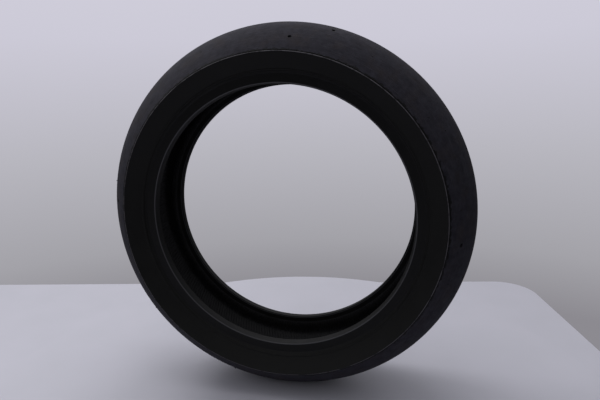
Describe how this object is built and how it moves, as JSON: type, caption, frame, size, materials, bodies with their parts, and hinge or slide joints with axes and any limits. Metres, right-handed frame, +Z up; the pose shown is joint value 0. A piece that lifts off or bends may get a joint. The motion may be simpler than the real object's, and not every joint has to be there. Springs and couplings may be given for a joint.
{
  "type": "motorcycle tire",
  "caption": "Round-profile rear motorcycle tire with a worn smooth tread, plain sidewalls, wire beads and an open air chamber.",
  "frame": {"origin": "the tire's centre: on the axle line, midway between the two tread edges", "axes": "+Y is the axle line toward the left side of the motorcycle, +Z is up, +X is forward; -Y faces the viewer"},
  "size_m": [0.624, 0.157, 0.624],
  "materials": {
    "tread_center_rubber": "worn, dusty, matte",
    "tread_shoulder_rubber": "worn, dusty, matte",
    "base_rubber": "matte",
    "cushion_rubber": "matte",
    "belt_cord": "rubber-coated cord",
    "ply_cord": "rubber-coated cord",
    "liner_rubber": "satin",
    "sidewall_rubber": "moulded satin",
    "chafer_rubber": "moulded satin, rubbed at the heel",
    "filler_rubber": "hard rubber, matte",
    "wrap_fabric": "woven",
    "bead_wire": "bronze-coated wire"
  },
  "bodies": {
    "root": {"tread_center": "tread_center_rubber", "tread_left_shoulder": "tread_shoulder_rubber", "tread_right_shoulder": "tread_shoulder_rubber", "tread_base": "base_rubber", "zero_degree_belt": "belt_cord", "left_belt_edge_cushion": "cushion_rubber", "right_belt_edge_cushion": "cushion_rubber", "carcass_ply_outer": "ply_cord", "carcass_ply_inner": "ply_cord", "inner_liner": "liner_rubber", "left_sidewall": "sidewall_rubber", "right_sidewall": "sidewall_rubber", "left_chafer": "chafer_rubber", "right_chafer": "chafer_rubber", "left_bead_filler": "filler_rubber", "right_bead_filler": "filler_rubber", "left_bead_wrap": "wrap_fabric", "right_bead_wrap": "wrap_fabric", "left_bead_core": "bead_wire", "right_bead_core": "bead_wire"}
  },
  "joints": []
}
